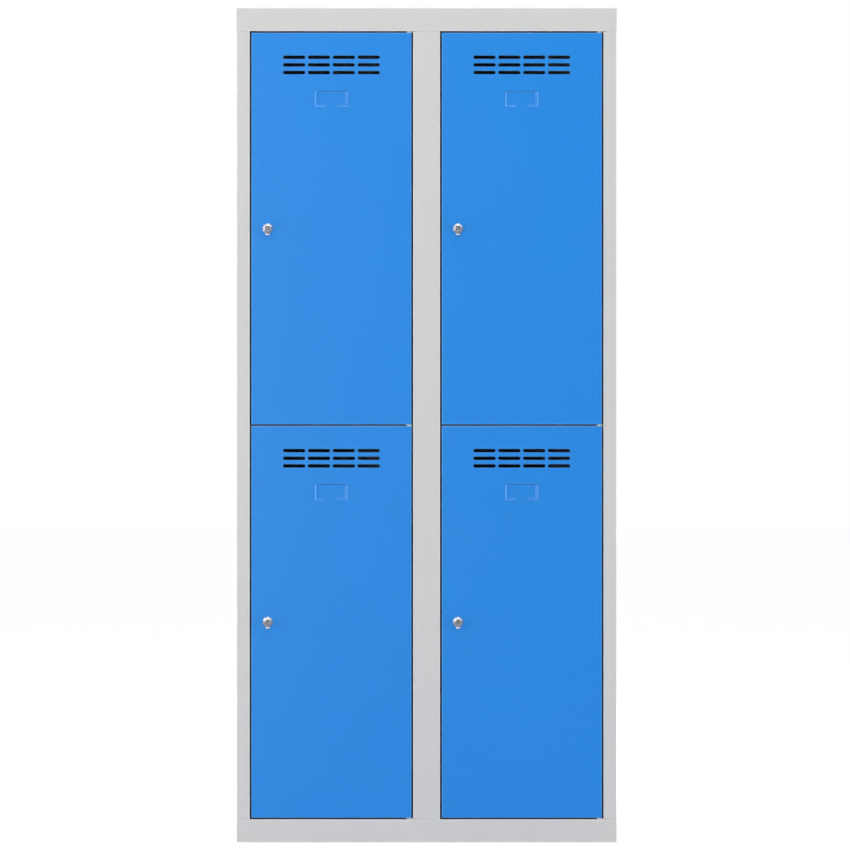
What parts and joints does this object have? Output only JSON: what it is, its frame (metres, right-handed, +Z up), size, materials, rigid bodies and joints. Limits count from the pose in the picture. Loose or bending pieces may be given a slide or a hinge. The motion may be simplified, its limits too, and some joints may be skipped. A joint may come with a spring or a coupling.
{
  "type": "school locker",
  "caption": "Free-standing two-column, two-tier steel locker with hinged, vented doors, card holders, turning cylinder locks and coat hooks.",
  "frame": {"origin": "on the floor, under the middle of the closed locker's bounding box, which includes the locks in front", "axes": "+X to the right of someone facing the doors, +Y from the doors to the back, +Z up"},
  "size_m": [0.82, 0.511, 1.8],
  "materials": {
    "carcass_grey": "light grey powder coat, satin",
    "door_blue": "bright blue powder coat, satin",
    "lock_chrome": "bright chrome plate",
    "zinc_plate": "bright zinc plate",
    "nylon": "natural white nylon"
  },
  "bodies": {
    "carcass": {"left_side_panel": "carcass_grey", "right_side_panel": "carcass_grey", "centre_post": "carcass_grey", "centre_partition": "carcass_grey", "top_panel": "carcass_grey", "bottom_panel": "carcass_grey", "back_panel": "carcass_grey", "left_shelf": "carcass_grey", "left_bottom_hinge_plate": "carcass_grey", "left_bottom_hinge_pin": "zinc_plate", "left_middle_hinge_plate": "carcass_grey", "left_middle_hinge_pin": "zinc_plate", "left_top_hinge_plate": "carcass_grey", "left_top_hinge_pin": "zinc_plate", "lower_left_coat_hook": "zinc_plate", "upper_left_coat_hook": "zinc_plate", "right_shelf": "carcass_grey", "right_bottom_hinge_plate": "carcass_grey", "right_bottom_hinge_pin": "zinc_plate", "right_middle_hinge_plate": "carcass_grey", "right_middle_hinge_pin": "zinc_plate", "right_top_hinge_plate": "carcass_grey", "right_top_hinge_pin": "zinc_plate", "lower_right_coat_hook": "zinc_plate", "upper_right_coat_hook": "zinc_plate"},
    "lower_left_door": {"lower_left_door_panel": "door_blue", "lower_left_door_stiffener": "door_blue", "lower_left_top_bush": "nylon", "lower_left_bottom_bush": "nylon", "lower_left_lock_body": "lock_chrome", "lower_left_lock_nut": "zinc_plate"},
    "lower_left_latch": {"lower_left_lock_plug": "lock_chrome", "lower_left_lock_cam": "zinc_plate"},
    "upper_left_door": {"upper_left_door_panel": "door_blue", "upper_left_door_stiffener": "door_blue", "upper_left_top_bush": "nylon", "upper_left_bottom_bush": "nylon", "upper_left_lock_body": "lock_chrome", "upper_left_lock_nut": "zinc_plate"},
    "upper_left_latch": {"upper_left_lock_plug": "lock_chrome", "upper_left_lock_cam": "zinc_plate"},
    "lower_right_door": {"lower_right_door_panel": "door_blue", "lower_right_door_stiffener": "door_blue", "lower_right_top_bush": "nylon", "lower_right_bottom_bush": "nylon", "lower_right_lock_body": "lock_chrome", "lower_right_lock_nut": "zinc_plate"},
    "lower_right_latch": {"lower_right_lock_plug": "lock_chrome", "lower_right_lock_cam": "zinc_plate"},
    "upper_right_door": {"upper_right_door_panel": "door_blue", "upper_right_door_stiffener": "door_blue", "upper_right_top_bush": "nylon", "upper_right_bottom_bush": "nylon", "upper_right_lock_body": "lock_chrome", "upper_right_lock_nut": "zinc_plate"},
    "upper_right_latch": {"upper_right_lock_plug": "lock_chrome", "upper_right_lock_cam": "zinc_plate"}
  },
  "joints": [
    {"name": "lower_left_door_swing", "type": "hinge", "parent": "carcass", "child": "lower_left_door", "pos_m": [-0.03875, -0.2385, 0.0535], "axis": [0, 0, 1], "range_deg": [0, 110]},
    {"name": "lower_left_lock_turn", "type": "hinge", "parent": "lower_left_door", "child": "lower_left_latch", "pos_m": [-0.34275, -0.2445, 0.47587], "axis": [0, 1, 0], "range_deg": [0, 90]},
    {"name": "upper_left_door_swing", "type": "hinge", "parent": "carcass", "child": "upper_left_door", "pos_m": [-0.03875, -0.2385, 0.90175], "axis": [0, 0, 1], "range_deg": [0, 110]},
    {"name": "upper_left_lock_turn", "type": "hinge", "parent": "upper_left_door", "child": "upper_left_latch", "pos_m": [-0.34275, -0.2445, 1.32412], "axis": [0, 1, 0], "range_deg": [0, 90]},
    {"name": "lower_right_door_swing", "type": "hinge", "parent": "carcass", "child": "lower_right_door", "pos_m": [0.37175, -0.2385, 0.0535], "axis": [0, 0, 1], "range_deg": [0, 110]},
    {"name": "lower_right_lock_turn", "type": "hinge", "parent": "lower_right_door", "child": "lower_right_latch", "pos_m": [0.06775, -0.2445, 0.47587], "axis": [0, 1, 0], "range_deg": [0, 90]},
    {"name": "upper_right_door_swing", "type": "hinge", "parent": "carcass", "child": "upper_right_door", "pos_m": [0.37175, -0.2385, 0.90175], "axis": [0, 0, 1], "range_deg": [0, 110]},
    {"name": "upper_right_lock_turn", "type": "hinge", "parent": "upper_right_door", "child": "upper_right_latch", "pos_m": [0.06775, -0.2445, 1.32412], "axis": [0, 1, 0], "range_deg": [0, 90]}
  ]
}
